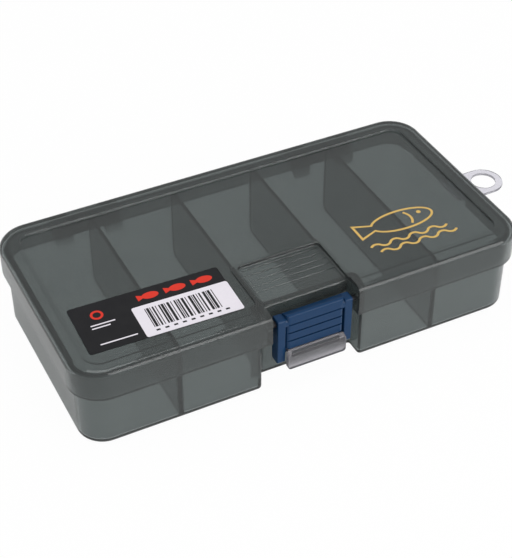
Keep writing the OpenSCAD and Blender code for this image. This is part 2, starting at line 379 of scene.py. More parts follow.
blue, film, steel = blue_plastic(), label_film(), pin_steel()
clear = clear_plastic("clear_plastic", (0.76, 0.75, 0.81), (0.81, 0.80, 0.86), 0.03, 0.08)
cloudy = clear_plastic("cloudy_plastic", (0.42, 0.41, 0.44), (0.47, 0.46, 0.49), 0.20, 0.26)
black_ink = print_ink("black_ink", (0.012, 0.012, 0.014), (0.020, 0.020, 0.022), 0.4)
white_ink = print_ink("white_ink", (0.84, 0.80, 0.87), (0.90, 0.86, 0.92), 0.4)
red_ink = print_ink("red_ink", (0.72, 0.035, 0.020), (0.80, 0.050, 0.028), 0.4)
gold_ink = print_ink("gold_ink", (0.66, 0.42, 0.11), (0.78, 0.53, 0.17), 0.3)
print("finishes:", sorted(material.name for material in bpy.data.materials))

# %% [markdown]
# ## Putting a finish on
#
# The three steel pins keep their CAD meshes and only get a finish. Every modelled piece goes through one
# function: it smooths the rounded edges, keeps the flat faces flat by weighting the normals, takes the
# finish, is hung on the body that it rides on, and hides the CAD node that it stands for.

# %% Dress and finish
SMOOTH_ANGLE = math.radians(32)


def dress(piece, material):
    piece.data.materials.clear()
    piece.data.materials.append(material)


def finished(piece, material, body, slot, *nodes):
    activate(piece)
    bpy.ops.object.shade_smooth_by_angle(angle=SMOOTH_ANGLE)
    bpy.ops.object.modifier_add(type="WEIGHTED_NORMAL")
    piece.modifiers[-1].keep_sharp = True
    bpy.ops.object.modifier_apply(modifier=piece.modifiers[-1].name)
    dress(piece, material)
    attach(piece, body)
    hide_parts(*nodes)
    corners = [v.co / MM for v in piece.data.vertices]
    low = tuple(round(min(axis), 2) for axis in zip(*corners))
    high = tuple(round(max(axis), 2) for axis in zip(*corners))
    print(piece.name, len(piece.data.polygons), "faces, from", low, "to", high)


# The pins get the near-black steel, whose colour is painted shade.
for pin in ("latch_pin", "hinge_pin_left", "hinge_pin_right"):
    dress(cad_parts[pin], steel)
    print(pin, "keeps its mesh and gets", steel.name)

# %% [markdown]
# ## The tray
#
# The tray is one moulding. A mould has two halves, and the plastic fills the space between them, so the
# tray is made the same way: an outer block with rounded edges, and a core that fills the five compartments.
# The outer block minus the core leaves the walls, the floor and the dividers at their real thickness.
# A thin shell with Solidify would be quicker, but its dividers would have to be joined on afterwards.

# %% Main sizes, in millimetres
lid_low, lid_high = (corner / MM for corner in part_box("lid"))
tray_low, tray_high = (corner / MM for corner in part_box("tray"))
LID_W = lid_high.x - lid_low.x
LID_D = -2 * lid_low.y
LID_TOP = lid_high.z
LID_WALL, LID_CORNER = 1.5, 11.3
SKIRT_Z = LID_TOP - 10.6
TRAY_LONGER = 0.4  # the photograph's tray reaches further at each end than the solid
TRAY_W = tray_high.x - tray_low.x + 2 * TRAY_LONGER
TRAY_D = -2 * tray_low.y
TRAY_TOP = tray_high.z
TRAY_WALL, TRAY_FLOOR, TRAY_CORNER = 1.35, 1.1, 8.9
NOTCH_HALF, BAY_FRONT = 15.4, -LID_D / 2 + 6.6
TRAY_NOTCH_HALF = NOTCH_HALF + 2.4
TRAY_BAY_FRONT = BAY_FRONT + 2.3
FAR = 20  # a long way, for cutters that pass right through
OVER = 1  # a cutter's reach past the face that it opens
SOFT = 0.3  # the rounding of small edges
print("lid", LID_W, LID_D, LID_TOP, "tray", TRAY_W, TRAY_D, TRAY_TOP)

# %% Outer block of the tray
TRAY_EDGE, TRAY_NOTCH_EDGE = 1.9, 1.3

tray = rounded_block("tray_shell", (-TRAY_W / 2, -TRAY_D / 2, 0), (TRAY_W / 2, TRAY_D / 2, TRAY_TOP),
                     TRAY_CORNER, 16)
pick_edges(tray, below(0))
bevel(TRAY_EDGE, 6)
cut(tray, block("notch", (-TRAY_NOTCH_HALF, -TRAY_D, -FAR), (TRAY_NOTCH_HALF, TRAY_BAY_FRONT, 2 * FAR)))


def on_tray_notch(a, b):
    """Edges of the notch's side and back walls, apart from those on the rim."""
    side = all(abs(abs(p.x) - TRAY_NOTCH_HALF) < NEAR for p in (a, b))
    behind = all(abs(p.y - TRAY_BAY_FRONT) < NEAR for p in (a, b))
    return (side or behind) and min(a.y, b.y) < TRAY_BAY_FRONT + NEAR and min(a.z, b.z) <= TRAY_TOP - NEAR


picked = pick_edges(tray, on_tray_notch)
bevel(TRAY_NOTCH_EDGE, 4)
print("rounded", picked, "edges of the tray's notch")

# %% Core that fills the compartments
FILLET, NOTCH_WALL_CORNER = 0.9, 1.5
DIVIDERS, DIVIDER_T, DIVIDER_PITCH, DIVIDER_FILLET = 4, 1.3, 30.76, 0.8

core = rounded_block("core", (-TRAY_W / 2 + TRAY_WALL, -TRAY_D / 2 + TRAY_WALL, TRAY_FLOOR),
                     (TRAY_W / 2 - TRAY_WALL, TRAY_D / 2 - TRAY_WALL, TRAY_TOP + OVER),
                     TRAY_CORNER - TRAY_WALL, 14)
pick_edges(core, below(TRAY_FLOOR))
bevel(FILLET, 4)
cut(core, rounded_block("notch_wall", (-TRAY_NOTCH_HALF - TRAY_WALL, -TRAY_D, -FAR),
                        (TRAY_NOTCH_HALF + TRAY_WALL, TRAY_BAY_FRONT + TRAY_WALL, 2 * FAR),
                        NOTCH_WALL_CORNER, 4))
divider_middles = [(i - (DIVIDERS - 1) / 2) * DIVIDER_PITCH for i in range(DIVIDERS)]
for x in divider_middles:
    cut(core, block("divider", (x - DIVIDER_T / 2, -TRAY_D, -FAR), (x + DIVIDER_T / 2, TRAY_D, 2 * FAR)))


def beside_divider(p):
    return any(abs(abs(p.x - x) - DIVIDER_T / 2) < NEAR for x in divider_middles)


picked = pick_edges(core, lambda a, b: beside_divider(a) and beside_divider(b) and abs(a.x - b.x) < NEAR
                    and min(a.z, b.z) < TRAY_TOP + OVER / 2)
bevel(DIVIDER_FILLET, 3)
print("rounded", picked, "edges along the dividers")
cut(tray, core)

# %% [markdown]
# ## The tray's catch and hinge knuckles
#
# Behind the tray are two pairs of knuckles, each on a short arm that grows out of the wall, and the lid's
# knuckles fit between them on a steel pin. They could be one long tube cut into lengths, but a rod and a
# block for each knuckle give the arm its slope. The catch is the ledge in the notch that the latch snaps on.

# %% Catch
CATCH_HALF, CATCH_OUT, INTO_WALL = 9, 1.4, 0.6
CATCH_TOP, CATCH_FOOT = SKIRT_Z - 0.8, SKIRT_Z - 2.6

catch = block("catch", (-CATCH_HALF, TRAY_BAY_FRONT - CATCH_OUT, CATCH_FOOT),
              (CATCH_HALF, TRAY_BAY_FRONT + INTO_WALL, CATCH_TOP))
pick_edges(catch, lambda a, b: max(a.y, b.y) < TRAY_BAY_FRONT - 1)
bevel(SOFT, 2)
add(tray, catch)

# %% Hinge arms and knuckles of the tray
AXIS_Y, AXIS_Z, KNUCKLE_R, PIN_BORE = LID_D / 2 + 3.5, SKIRT_Z + 2.1, 3.2, 0.95
HINGE_X, HINGE_LEN, TRAY_KNUCKLE, KNUCKLE_GAP = LID_W / 2 - 34, 24.0, 6.0, 0.3
ARM_TOP, ARM_FOOT, ARM_RISE = SKIRT_Z - 0.3, SKIRT_Z - 4.3, 3.2
ARM_ROOT = 0.7  # how deep an arm starts inside its wall
BORE_SIDES = 24


def knuckle(low_x, high_x):
    return rod_x("knuckle", (low_x + high_x) / 2, AXIS_Y, AXIS_Z, KNUCKLE_R, high_x - low_x)


for side in (-1, 1):
    hinge_low, hinge_high = side * HINGE_X - HINGE_LEN / 2, side * HINGE_X + HINGE_LEN / 2
    for low_x, high_x in ((hinge_low, hinge_low + TRAY_KNUCKLE), (hinge_high - TRAY_KNUCKLE, hinge_high)):
        arm = block("arm", (low_x, TRAY_D / 2 - ARM_ROOT, ARM_FOOT), (high_x, AXIS_Y, ARM_TOP))
        move_edges(arm, lambda a, b: min(a.y, b.y) > AXIS_Y - NEAR and max(a.z, b.z) < ARM_FOOT + NEAR,
                   (0, 0, ARM_RISE))
        add(arm, knuckle(low_x, high_x))
        add(tray, arm)
    cut(tray, rod_x("bore", side * HINGE_X, AXIS_Y, AXIS_Z, PIN_BORE, HINGE_LEN + 2 * OVER, BORE_SIDES))
picked = pick_edges(tray, above(TRAY_TOP))
bevel(SOFT, 2)
print("rounded", picked, "edges of the rim")

# %% Slot for the hanger
RING_TOP, RING_T, RING_R, SLOT_HALF = SKIRT_Z + 2.4, 1.0, 6.9, 5.5

cut(tray, block("slot", (TRAY_W / 2 - TRAY_WALL - OVER, -SLOT_HALF, RING_TOP - RING_T),
                (TRAY_W / 2 + OVER, SLOT_HALF, RING_TOP)))
finished(tray, smoke, "tray_body", "smoke_plastic", "tray")

# %% [markdown]
# ## The lid
#
# The lid has a raised rim round a sunk panel. A ribbed thumb rest is sunk behind the latch, with a narrow
# ridge between the two. Insetting and pushing down the top face would give the same steps, but here each
# sunk area is a cutter with its own rounded corners and a small fillet at its foot, so that each can be
# resized by itself.

# %% Outer block of the lid and its notch
LID_EDGE, LID_NOTCH_EDGE = 2.5, 1.1
SKIRT_FOOT, BACK_RELIEF = SKIRT_Z - 0.7, LID_D / 2 - 6.3

lid = rounded_block("lid_shell", (-LID_W / 2, -LID_D / 2, SKIRT_FOOT), (LID_W / 2, LID_D / 2, LID_TOP),
                    LID_CORNER, 18)
pick_edges(lid, above(LID_TOP))
bevel(LID_EDGE, 8)
pick_edges(lid, below(SKIRT_FOOT))
bevel(SOFT, 3)
cut(lid, block("notch", (-NOTCH_HALF, -LID_D, 0), (NOTCH_HALF, BAY_FRONT, 2 * FAR)))


def on_lid_notch(a, b):
    """Edges of the notch's side walls at the front and on top, over the skirt's foot."""
    side = abs(abs(a.x) - NOTCH_HALF) < NEAR and abs(a.x - b.x) < NEAR
    front_or_top = max(a.y, b.y) < BAY_FRONT - 1 or min(a.z, b.z) > LID_TOP - NEAR
    return side and front_or_top and max(a.z, b.z) > SKIRT_Z


picked = pick_edges(lid, on_lid_notch)
bevel(LID_NOTCH_EDGE, 5)
print("rounded", picked, "edges of the lid's notch")

# %% Sunk panel
RIM, RIDGE, ISLAND_CORNER = 7.15, 2.0, 3
PANEL_W, PANEL_D, PANEL_Z = LID_W - 2 * RIM, LID_D - 2 * RIM, LID_TOP - 0.9
BAY_HALF, BAY_BACK, BAY_Z = 15.0, BAY_FRONT + 20.7, LID_TOP - 1.5

panel = rounded_block("panel", (-PANEL_W / 2, -PANEL_D / 2, PANEL_Z),
                      (PANEL_W / 2, PANEL_D / 2, LID_TOP + 2 * OVER), LID_CORNER - RIM, 10)
cut(panel, rounded_block("island", (-BAY_HALF - RIDGE, -LID_D, 0),
                         (BAY_HALF + RIDGE, BAY_BACK + RIDGE, 2 * FAR), ISLAND_CORNER, 6))
pick_edges(panel, lambda a, b: upright(a, b) and abs(abs(a.x) - BAY_HALF - RIDGE) < NEAR
           and abs(a.y + PANEL_D / 2) < NEAR)
bevel(ISLAND_CORNER, 6)
pick_edges(panel, below(PANEL_Z))
bevel(SOFT, 2)
cut(lid, panel)
print("the panel is sunk by", round(LID_TOP - PANEL_Z, 2), "mm")

# %% Thumb rest and its ribs
BAY_CORNER, BAY_FILLET = 2, 0.7
RIB_COUNT, RIB_PITCH, RIB_W, RIB_H, RIB_EDGE = 5, 2.85, 1.0, 0.3, 0.22
RIB_SHORTER, FIRST_RIB = 0.6, 1.0

bay = block("bay", (-BAY_HALF, BAY_FRONT - 3 * OVER, BAY_Z), (BAY_HALF, BAY_BACK, LID_TOP + 2 * OVER))
pick_edges(bay, lambda a, b: upright(a, b) and a.y > BAY_BACK - NEAR)
bevel(BAY_CORNER, 5)
pick_edges(bay, lambda a, b: max(a.z, b.z) < BAY_Z + NEAR and max(a.y, b.y) > BAY_FRONT)
bevel(BAY_FILLET, 4)
cut(lid, bay)
for i in range(RIB_COUNT):
    y = BAY_BACK - FIRST_RIB - i * RIB_PITCH
    rib = block("rib", (-BAY_HALF + RIB_SHORTER, y - RIB_W / 2, BAY_Z - RIB_H),
                (BAY_HALF - RIB_SHORTER, y + RIB_W / 2, BAY_Z + RIB_H))
    pick_edges(rib, above(BAY_Z + RIB_H))
    bevel(RIB_EDGE, 2)
    add(lid, rib)
print(RIB_COUNT, "ribs stand", RIB_H, "mm high in the thumb rest")

# %% [markdown]
# ## The lid's soft edges
#
# The photograph shows a light line along the rim and a broad highlight over the thumb rest's front lip, and
# only rounded edges can catch them. The rim's inner edges are bevelled. A bevel on the lip would run into
# the notch's side walls, so the lip is rounded by a cutter: a block that has had a rod taken out of it.

# %% Round the rim's inner edge, the ridge and the thumb rest's lip
RIM_EDGE, LIP, LIP_DEEP = 0.55, 1.1, 4.5
LIP_BACK = BAY_FRONT + 0.8
HAIR = 0.02  # two faces in one plane can spoil a boolean, so they are kept this far apart

picked = pick_edges(lid, lambda a, b: min(a.z, b.z) > LID_TOP - NEAR
                    and max(abs(a.x), abs(b.x)) < PANEL_W / 2 + WITHIN
                    and max(abs(a.y), abs(b.y)) < PANEL_D / 2 + WITHIN)
bevel(RIM_EDGE, 4)
print("rounded", picked, "edges of the rim and ridge")
lip = block("lip", (-BAY_HALF + HAIR, BAY_FRONT - OVER / 2, BAY_Z - LIP_DEEP),
            (BAY_HALF - HAIR, LIP_BACK + LIP, BAY_Z + OVER / 2))
cut(lip, block("face", (-FAR, LIP_BACK, 0), (FAR, BAY_FRONT + FAR, BAY_Z - LIP)))
cut(lip, rod_x("rounding", 0, LIP_BACK + LIP, BAY_Z - LIP, LIP, 2 * FAR, 96))
cut(lid, lip)
print("the thumb rest's lip is rounded by", LIP, "mm")

# %% [markdown]
# ## The inside of the lid
#
# The lid is as thin inside as a moulding is. A core hollows it out, and before that the core is itself cut
# by what has to stay: the notch's walls and the undersides of the panel and of the thumb rest.

# %% Core inside the lid
FRONT_THICKER, RIM_THICKER = 0.3, 0.4
IN_X, IN_Y = LID_W / 2 - LID_WALL, LID_D / 2 - LID_WALL - FRONT_THICKER
IN_Z = LID_TOP - LID_WALL - RIM_THICKER
UNDER_WIDER, BAY_T, IN_EDGE, IN_NOTCH_CORNER = 1.3, 1.2, 1.1, 1

core = rounded_block("core", (-IN_X, -IN_Y, SKIRT_FOOT - OVER), (IN_X, IN_Y, IN_Z), LID_CORNER - LID_WALL, 16)
pick_edges(core, above(IN_Z))
bevel(IN_EDGE, 4)
cut(core, rounded_block("notch_wall", (-NOTCH_HALF - LID_WALL, -LID_D, 0),
                        (NOTCH_HALF + LID_WALL, BAY_FRONT + LID_WALL, 2 * FAR), IN_NOTCH_CORNER, 3))
UNDER_X, UNDER_Y = PANEL_W / 2 + UNDER_WIDER, PANEL_D / 2 + UNDER_WIDER
cut(core, rounded_block("panel_plate", (-UNDER_X, -UNDER_Y, PANEL_Z - LID_WALL),
                        (UNDER_X, UNDER_Y, LID_TOP), LID_CORNER - RIM + UNDER_WIDER, 10))
cut(core, block("bay_plate", (-BAY_HALF - UNDER_WIDER, BAY_FRONT, BAY_Z - BAY_T),
                (BAY_HALF + UNDER_WIDER, BAY_BACK + UNDER_WIDER, LID_TOP)))
cut(lid, core)
# The back skirt is shorter, because its foot swings towards the tray's back wall when the lid opens.
cut(lid, block("back_relief", (-LID_W, BACK_RELIEF, 0), (LID_W, LID_D, SKIRT_Z)))
print("the lid's walls are", LID_WALL, "mm at the ends and", round(LID_D / 2 - IN_Y, 2), "mm at the front")

# %% Knuckles, pin holes and the hanger's gap
ARM_SLOPE, GAP_SIDE, GAP_TOP = 0.7, 0.4, 0.3
LATCH_BORE, LATCH_BORE_LEN = 1.05, 2 * (NOTCH_HALF + LID_WALL) + 0.4
LATCH_PIN_Y, LATCH_PIN_Z = (sum(corner[axis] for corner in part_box("latch_pin")) / 2 / MM for axis in (1, 2))

for side in (-1, 1):
    half = HINGE_LEN / 2 - TRAY_KNUCKLE - KNUCKLE_GAP
    low_x, high_x = side * HINGE_X - half, side * HINGE_X + half
    arm = block("arm", (low_x, LID_D / 2 - ARM_ROOT, SKIRT_Z), (high_x, AXIS_Y, AXIS_Z + KNUCKLE_R))
    move_edges(arm, lambda a, b: max(a.y, b.y) < LID_D / 2 and min(a.z, b.z) > AXIS_Z, (0, 0, ARM_SLOPE))
    add(arm, knuckle(low_x, high_x))
    add(lid, arm)
    cut(lid, rod_x("bore", side * HINGE_X, AXIS_Y, AXIS_Z, PIN_BORE, HINGE_LEN, BORE_SIDES))
cut(lid, rod_x("bore", 0, LATCH_PIN_Y, LATCH_PIN_Z, LATCH_BORE, LATCH_BORE_LEN, BORE_SIDES))
cut(lid, block("gap", (LID_W / 2 - LID_WALL - OVER, -RING_R - GAP_SIDE, SKIRT_Z - OVER),
               (LID_W / 2 + OVER, RING_R + GAP_SIDE, RING_TOP + GAP_TOP)))
finished(lid, smoke, "lid_body", "smoke_plastic", "lid")

# %% [markdown]
# ## The latch
#
# The blue latch is a grip pad between two rails. Its rails turn on a pin between the walls of the lid's
# notch, and a hook on its back catches the tray. It could be one outline pushed through, but the pad stands
# prouder than the rails and has a much rounder front, so each part is its own block, joined at the end.

# %% Latch sizes
RAIL_BACK = BAY_FRONT - 1.8
RAIL_FRONT = RAIL_BACK - 4.2
RAIL_TOP = LID_TOP - 3.5
RAIL_FOOT = RAIL_TOP - 17.8
RAIL_X, RAIL_HALF, RAIL_EDGE = 12.0, 1.4, 0.8
GRIP_FRONT, GRIP_TOP = RAIL_FRONT - 0.2, RAIL_TOP + 0.7
GRIP_FOOT = GRIP_TOP - 13.3
GRIP_HALF, GRIP_EDGE, GRIP_FOOT_EDGE = 10.3, 1.5, 0.25
GRIP_RISE, GRIP_SLOPE, GRIP_THINNER = 1, 1.6, 0.7
print("the latch's rails are", round(RAIL_TOP - RAIL_FOOT, 1), "mm long")

# %% Grip pad and its grooves
GROOVES, GROOVE_PITCH, GROOVE_HALF, GROOVE_DEEP, GROOVE_LIP = 3, 3.3, 0.25, 0.5, 0.15

latch = block("latch_shell", (-GRIP_HALF, GRIP_FRONT, GRIP_FOOT),
              (GRIP_HALF, RAIL_BACK - GRIP_THINNER, GRIP_TOP + GRIP_RISE))
move_edges(latch, lambda a, b: along_x(a, b) and a.y > GRIP_FRONT + 1 and a.z > GRIP_TOP, (0, 0, -GRIP_SLOPE))
pick_edges(latch, lambda a, b: max(a.y, b.y) < GRIP_FRONT + NEAR and max(a.z, b.z) > GRIP_FOOT + NEAR)
bevel(GRIP_EDGE, 8)
pick_edges(latch, below(GRIP_FOOT))
bevel(GRIP_FOOT_EDGE, 2)
for i in range(GROOVES):
    z = GRIP_TOP - GROOVE_PITCH * (i + 1)
    cut(latch, block("groove", (-GRIP_HALF - GROOVE_DEEP, GRIP_FRONT - OVER, z - GROOVE_HALF),
                     (GRIP_HALF + GROOVE_DEEP, GRIP_FRONT + GROOVE_DEEP, z + GROOVE_HALF)))
picked = pick_edges(latch, lambda a, b: along_x(a, b) and abs(a.y - GRIP_FRONT) < NEAR
                    and abs(a.x - b.x) > GRIP_HALF / 2 and GRIP_FOOT + 1 < a.z < GRIP_TOP - GRIP_EDGE)
bevel(GROOVE_LIP, 2)
print("softened", picked, "lips of the grooves")


# %% Rails, web and hook
def make_rail(side):
    rail = block("rail", (side * RAIL_X - RAIL_HALF, RAIL_FRONT, RAIL_FOOT),
                 (side * RAIL_X + RAIL_HALF, RAIL_BACK, RAIL_TOP))
    pick_edges(rail, along_x)
    bevel(RAIL_EDGE, 4)
    pick_edges(rail, lambda a, b: abs(a.x - b.x) < NEAR)
    bevel(SOFT, 3)
    return rail


WEB_T, WEB_RISE, WEB_DROP, BOSS_R = 1.5, 1.7, 0.8, 2.08
HOOK_HALF, HOOK_TOP, HOOK_FOOT = 8, SKIRT_Z - 2.9, SKIRT_Z - 4.3
HOOK_SHORT, HOOK_ROOT = 1.8, 0.75

add(latch, make_rail(-1))
add(latch, make_rail(1))
add(latch, block("web", (-RAIL_X, RAIL_BACK - WEB_T, RAIL_FOOT + WEB_RISE),
                 (RAIL_X, RAIL_BACK - HAIR, RAIL_TOP - WEB_DROP)))
add(latch, rod_x("round_bar", 0, LATCH_PIN_Y, LATCH_PIN_Z, BOSS_R, 2 * RAIL_X))
hook = block("hook", (-HOOK_HALF, RAIL_BACK - HOOK_ROOT, HOOK_FOOT),
             (HOOK_HALF, TRAY_BAY_FRONT - HOOK_SHORT, HOOK_TOP))
pick_edges(hook, lambda a, b: min(a.y, b.y) > TRAY_BAY_FRONT - HOOK_SHORT - NEAR)
bevel(SOFT, 2)
add(latch, hook)
cut(latch, rod_x("bore", 0, LATCH_PIN_Y, LATCH_PIN_Z, LATCH_BORE, 2 * NOTCH_HALF, BORE_SIDES))
finished(latch, blue, "latch_body", "blue_plastic", "latch")

# %% [markdown]
# ## The pull tab
#
# Below the pad hangs a plate of clear plastic to pull the latch open with. It is a little cloudy, and its
# top face slopes forward. It is held by tongues that reach back behind the pad. They are two, a low one and
# a high one set further back, because one thick tongue spoils the plate's top edge, which is seen through.

# %% Pull tab
TAB_FRONT, TAB_TOP, TAB_HALF = GRIP_FRONT - 1.9, GRIP_FOOT, 10.5
TAB_FOOT, TAB_T, TAB_SLOPE = TAB_TOP - 7.1, 1.7, 0.6
TAB_CORNER, TAB_EDGE = 1.1, 0.2
TONGUE_HALF, TONGUE_BACK = TAB_HALF - 1.8, RAIL_BACK - WEB_T - HAIR
TONGUE_FRONT, TONGUE_TOP, TONGUE_FOOT = TAB_FRONT + 0.9, TAB_TOP - 1.1, TAB_TOP - 2.9
UPPER_FRONT, UPPER_FOOT = GRIP_FRONT + 0.3, TAB_TOP - 1.3

tab = block("pull_tab_plate", (-TAB_HALF, TAB_FRONT, TAB_FOOT), (TAB_HALF, TAB_FRONT + TAB_T, TAB_TOP))
move_edges(tab, lambda a, b: along_x(a, b) and a.y < TAB_FRONT + NEAR and a.z > TAB_TOP - NEAR,
           (0, 0, -TAB_SLOPE))
pick_edges(tab, lambda a, b: abs(a.x - b.x) < NEAR and abs(a.y - b.y) > 1)
bevel(TAB_CORNER, 6)
pick_edges(tab, lambda a, b: max(a.y, b.y) < TAB_FRONT + NEAR)
bevel(TAB_EDGE, 3)
add(tab, block("tongue", (-TONGUE_HALF, TONGUE_FRONT, TONGUE_FOOT), (TONGUE_HALF, TONGUE_BACK, TONGUE_TOP)))
add(tab, block("tongue_top", (-TONGUE_HALF, UPPER_FRONT, UPPER_FOOT),
               (TONGUE_HALF, TONGUE_BACK, TAB_TOP - HAIR)))
finished(tab, cloudy, "latch_body", "clear_plastic", "pull_tab")

# %% [markdown]
# ## The hanging ring
#
# A flat clear ring sticks out at the right end. Its neck goes through a slot in the tray's wall, and a
# wider head behind the wall keeps it there. A torus would be round in section, and this ring is flat, so it
# is a plate with a rounded end and a hole.


# %% Ring plate
def disc(name, x, y, low, high, radius, sides=64):
    """A cylinder primitive along Z."""
    deselect()
    bpy.ops.mesh.primitive_cylinder_add(vertices=sides, radius=radius * MM, depth=(high - low) * MM,
                                        location=Vector((x, y, (low + high) / 2)) * MM)
    return settle(name)


def is_level(a, b):
    return abs(a.z - b.z) < NEAR


RING_X, RING_LOW, HOLE_R = 90.1, RING_TOP - RING_T, 4.3


def round_the_hole(p):
    return abs(math.hypot(p.x - RING_X, p.y) - HOLE_R) < NEAR


ring = block("ring_plate", (TRAY_W / 2 + HAIR, -RING_R, RING_LOW), (RING_X + RING_R, RING_R, RING_TOP))
pick_edges(ring, lambda a, b: upright(a, b) and a.x > RING_X)
bevel(RING_R - NEAR, 24)
pick_edges(ring, lambda a, b: is_level(a, b) and max(a.x, b.x) > TRAY_W / 2 + WITHIN)
bevel(SOFT, 3)
cut(ring, disc("hole", RING_X, 0, RING_LOW - OVER, RING_TOP + OVER, HOLE_R))
picked = pick_edges(ring, lambda a, b: is_level(a, b) and round_the_hole(a) and round_the_hole(b))
bevel(SOFT, 3)
print("rounded", picked, "edges round the ring's hole")

# %% Ring neck and head
NECK_HALF, HEAD_HALF, HEAD_T, HEAD_PROUD = SLOT_HALF - HAIR, 6.3, 1.2, 0.2
WALL_INSIDE = TRAY_W / 2 - TRAY_WALL

add(ring, block("neck", (WALL_INSIDE - 0.7, -NECK_HALF, RING_LOW + HAIR),
                (TRAY_W / 2 + OVER, NECK_HALF, RING_TOP - HAIR)))
head = block("head", (WALL_INSIDE - HEAD_T, -HEAD_HALF, RING_LOW - HEAD_PROUD),
             (WALL_INSIDE - HAIR, HEAD_HALF, RING_TOP + HEAD_PROUD))
pick_edges(head, lambda a, b: abs(a.y - b.y) < NEAR)
bevel(SOFT, 2)
add(ring, head)
finished(ring, clear, "tray_body", "clear_plastic", "hanger_ring")

# %% [markdown]
# ## The label and the prints
#
# The label is a thin black film with a white field. Its marks are plain shapes of this lesson's own: bars
# spaced by a formula, three little fish, a ring and a few lines. A gold fish over waves is printed on the
# right of the lid. An image would need a file, so each print is a very thin solid that stands on the film
# or the lid by a few hundredths of a millimetre, and pieces of one ink are joined.

# %% Label film
LABEL_X, LABEL_Y, LABEL_TURN = -46.0, -19.85, math.radians(-1.75)
LABEL_HALF_W, LABEL_HALF_D, LABEL_CORNER = 25.5, 11.15, 1.0
LABEL_LOW, LABEL_TOP = PANEL_Z + 0.01, PANEL_Z + 0.15


def on_label(piece):
    """Turns a piece made round the origin and puts it in the label's place."""
    activate(piece)
    piece.rotation_euler.z = LABEL_TURN
    piece.location = Vector((LABEL_X, LABEL_Y, 0)) * MM
    bpy.ops.object.transform_apply(location=True, rotation=True, scale=True)


film_piece = rounded_block("label_film", (-LABEL_HALF_W, -LABEL_HALF_D, LABEL_LOW),
                           (LABEL_HALF_W, LABEL_HALF_D, LABEL_TOP), LABEL_CORNER, 5)
on_label(film_piece)
finished(film_piece, film, "lid_body", "label_film", "label_sticker")

# %% White field
INK_LOW, INK_TOP = LABEL_TOP - 0.02, LABEL_TOP + 0.03
FIELD_LEFT, FIELD_RIGHT, FIELD_FRONT, FIELD_BACK, FIELD_CORNER = -6.9, 25.6, -11.05, 3.5, 0.8

field = rounded_block("label_field", (FIELD_LEFT, FIELD_FRONT, INK_LOW), (FIELD_RIGHT, FIELD_BACK, INK_TOP),
                      FIELD_CORNER, 4)
on_label(field)
finished(field, white_ink, "lid_body", "label_film")

# %% Bars and ticks
BAR_LOW, BAR_TOP = LABEL_TOP + 0.01, LABEL_TOP + 0.06
BARS, BAR_UNIT, BAR_LEFT, BAR_FRONT, BAR_BACK = 24, 0.27, -3.2, -7.6, 1.6
TICKS, TICK_PITCH, TICK_W, TICK_FRONT, TICK_BACK = 9, 2.9, 1.3, -9.4, -8.7


def join(name, pieces):
    activate(pieces[0])
    for piece in pieces:
        piece.select_set(True)
    bpy.ops.object.join()
    joined = bpy.context.object
    joined.name = name
    return joined


bars, across = [], BAR_LEFT
for i in range(BARS):
    thick = BAR_UNIT * (1 + i * 5 % 7 % 3)
    bars.append(block("bar", (across, BAR_FRONT, BAR_LOW), (across + thick, BAR_BACK, BAR_TOP)))
    across += thick + BAR_UNIT * (1 + i * 3 % 5 % 3)
for i in range(TICKS):
    left = BAR_LEFT + TICK_PITCH * i
    bars.append(block("tick", (left, TICK_FRONT, BAR_LOW), (left + TICK_W, TICK_BACK, BAR_TOP)))
print("bars end at", round(across, 1))
bars = join("label_bars", bars)
on_label(bars)
finished(bars, black_ink, "lid_body", "label_film")


# %% Little red fish and ring
def fish(name, x, y, low, high, length, height, tail, spread, waist):
    """A flat fish that swims to the right: a stretched disc and a tail that narrows towards it."""
    body = disc(name, 0, 0, low, high, 1)
    body.scale = (length / 2, height / 2, 1)
    bpy.ops.object.transform_apply(location=True, rotation=True, scale=True)
    end = -length / 2
    fin = block("fin", (end - tail, -spread, low), (end + 0.16 * height, spread, high))
    pick_edges(fin, lambda a, b: min(a.x, b.x) > end)
    bpy.ops.transform.resize(value=(1, waist / spread, 1), center_override=(0, 0, 0))
    bpy.ops.object.mode_set(mode="OBJECT")
    add(body, fin)
    body.location = Vector((x, y, 0)) * MM
    activate(body)
    bpy.ops.object.transform_apply(location=True, rotation=True, scale=True)
    return body


RED_FISH, RED_LEFT, RED_PITCH, RED_Y = 3, 1.0, 9.2, 7.2
MARK_X, MARK_Y, MARK_R, MARK_HOLE, MARK_SIDES = -17.5, 5.2, 2.1, 1.3, 40

reds = [fish("red_fish", RED_LEFT + RED_PITCH * i, RED_Y, INK_LOW, INK_TOP, length=5.6, height=3.1,
             tail=1.6, spread=1.4, waist=0.5) for i in range(RED_FISH)]
ring_mark = disc("ring_mark", MARK_X, MARK_Y, INK_LOW, INK_TOP, MARK_R, MARK_SIDES)
cut(ring_mark, disc("hole", MARK_X, MARK_Y, LABEL_TOP - OVER, LABEL_TOP + OVER, MARK_HOLE, MARK_SIDES))
reds = join("label_red_marks", reds + [ring_mark])
on_label(reds)
finished(reds, red_ink, "lid_body", "label_film")

# %% White lines
LINE_LEFT, LINE_T = -21.0, 0.5
LINES = ((0.6, 8.0), (-0.8, 6.0), (-8.4, 12.0))  # each line's place up the label and its length

lines = [block("line", (LINE_LEFT, up, INK_LOW), (LINE_LEFT + length, up + LINE_T, INK_TOP))
         for up, length in LINES]
lines = join("label_white_marks", lines)
on_label(lines)
finished(lines, white_ink, "lid_body", "label_film")


